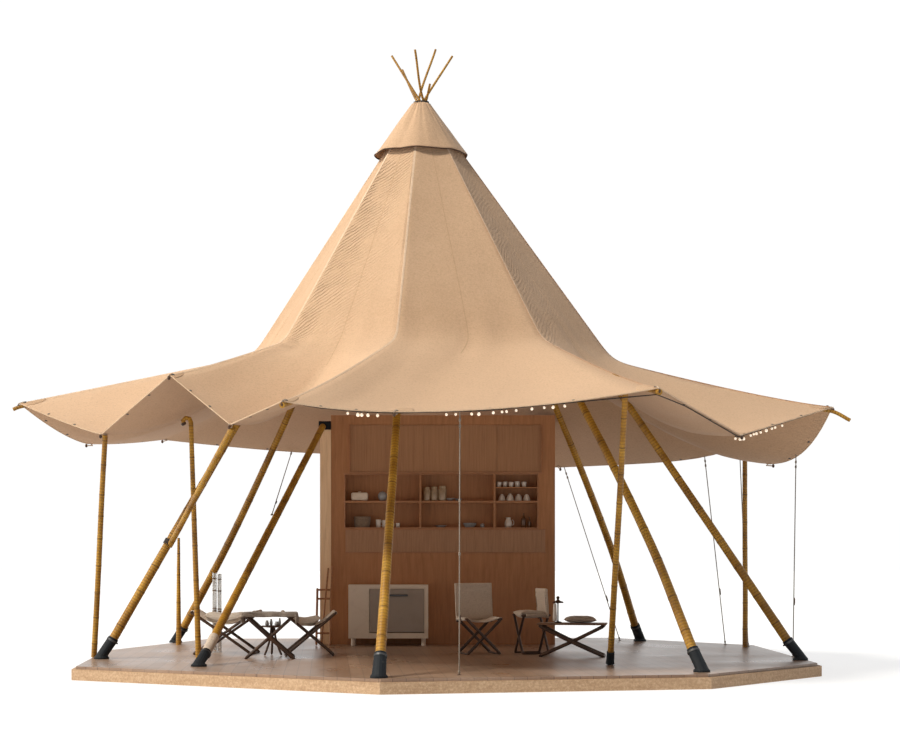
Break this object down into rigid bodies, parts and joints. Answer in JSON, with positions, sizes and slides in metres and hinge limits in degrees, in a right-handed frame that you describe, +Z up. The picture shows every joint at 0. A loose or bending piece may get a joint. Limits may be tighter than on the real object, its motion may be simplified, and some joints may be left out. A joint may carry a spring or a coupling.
{
  "type": "glamping tent",
  "caption": "Pyramid canvas tent with a wide flared awning on leaning timber poles, over an eight-sided deck with a kitchen wall and camp furniture.",
  "frame": {"origin": "middle of the deck's underside, on the ground", "axes": "+Z up, the side that the picture shows faces -Y, +X to the right"},
  "size_m": [9.7488, 9.0318, 7.3987],
  "materials": {
    "canvas": "matt woven cotton canvas, sand",
    "pole_wood": "oiled golden-brown round poles",
    "boot_rubber": "matt dark slate rubber",
    "cord": "grey twisted cord",
    "dark_cord": "dark brown cord",
    "fascia_wood": "light tan planed timber",
    "floor_wood": "grey-brown boards, satin",
    "wall_wood": "dark brown wood grain",
    "pale_wood": "lighter upright wood grain",
    "cabinet_paint": "off-white enamel",
    "steel": "dark brushed steel",
    "dark_tube": "dark brown painted tube",
    "chair_cloth": "grey-beige sling cloth",
    "table_top": "dark grey stretched cloth"
  },
  "bodies": {
    "tent": {"awning_pole_corner": "pole_wood", "awning_pole_front": "pole_wood", "awning_pole_left": "pole_wood", "awning_pole_rear": "pole_wood", "awning_pole_right": "pole_wood", "band_panel": "pale_wood", "brace_boot": "boot_rubber", "brace_bracket": "steel", "brace_pole": "pole_wood", "cap_canvas": "canvas", "chair_middle_back": "chair_cloth", "chair_middle_frame": "dark_tube", "chair_middle_sling": "chair_cloth", "chair_right_back": "chair_cloth", "chair_right_frame": "dark_tube", "chair_right_sling": "chair_cloth", "cold_cabinet": "cabinet_paint", "crook_pole": "pole_wood", "crown_lashing": "dark_cord", "cupboard_doors": "wall_wood", "deck_floor": "floor_wood", "deck_frame": "fascia_wood", "kitchen_wall": "wall_wood", "light_string": "dark_cord", "main_pole_front": "pole_wood", "main_pole_left": "pole_wood", "main_pole_left_rear": "pole_wood", "main_pole_right": "pole_wood", "main_pole_right_front": "pole_wood", "main_pole_right_rear": "pole_wood", "pole_boot_front": "boot_rubber", "pole_boot_left": "boot_rubber", "pole_boot_left_rear": "boot_rubber", "pole_boot_right": "boot_rubber", "pole_boot_right_front": "boot_rubber", "pole_boot_right_rear": "boot_rubber", "ridge_spar_front": "pole_wood", "ridge_spar_left": "pole_wood", "ridge_spar_right": "pole_wood", "ridge_spar_right_front": "pole_wood", "roof_canvas": "canvas", "short_post": "pole_wood", "stay_front": "cord", "stay_left_back": "cord", "stay_right": "cord", "stay_right_back": "cord", "stay_right_rear": "cord", "stay_wall_right": "cord", "stool_inner_frame": "dark_tube", "stool_inner_sling": "chair_cloth", "stool_left_frame": "dark_tube", "stool_left_sling": "chair_cloth", "table_cushion": "chair_cloth", "table_left_frame": "dark_tube", "table_left_top": "table_top", "table_right_frame": "dark_tube", "table_right_top": "table_top", "wall_post": "pale_wood"},
    "drop_door": {"cabinet_door": "cabinet_paint", "cabinet_handle": "steel"}
  },
  "joints": [
    {"name": "cabinet_door_hinge", "type": "hinge", "parent": "tent", "child": "drop_door", "pos_m": [-0.36, 1.9972, 0.3443], "axis": [1, 0, 0], "range_deg": [0, 90]}
  ]
}
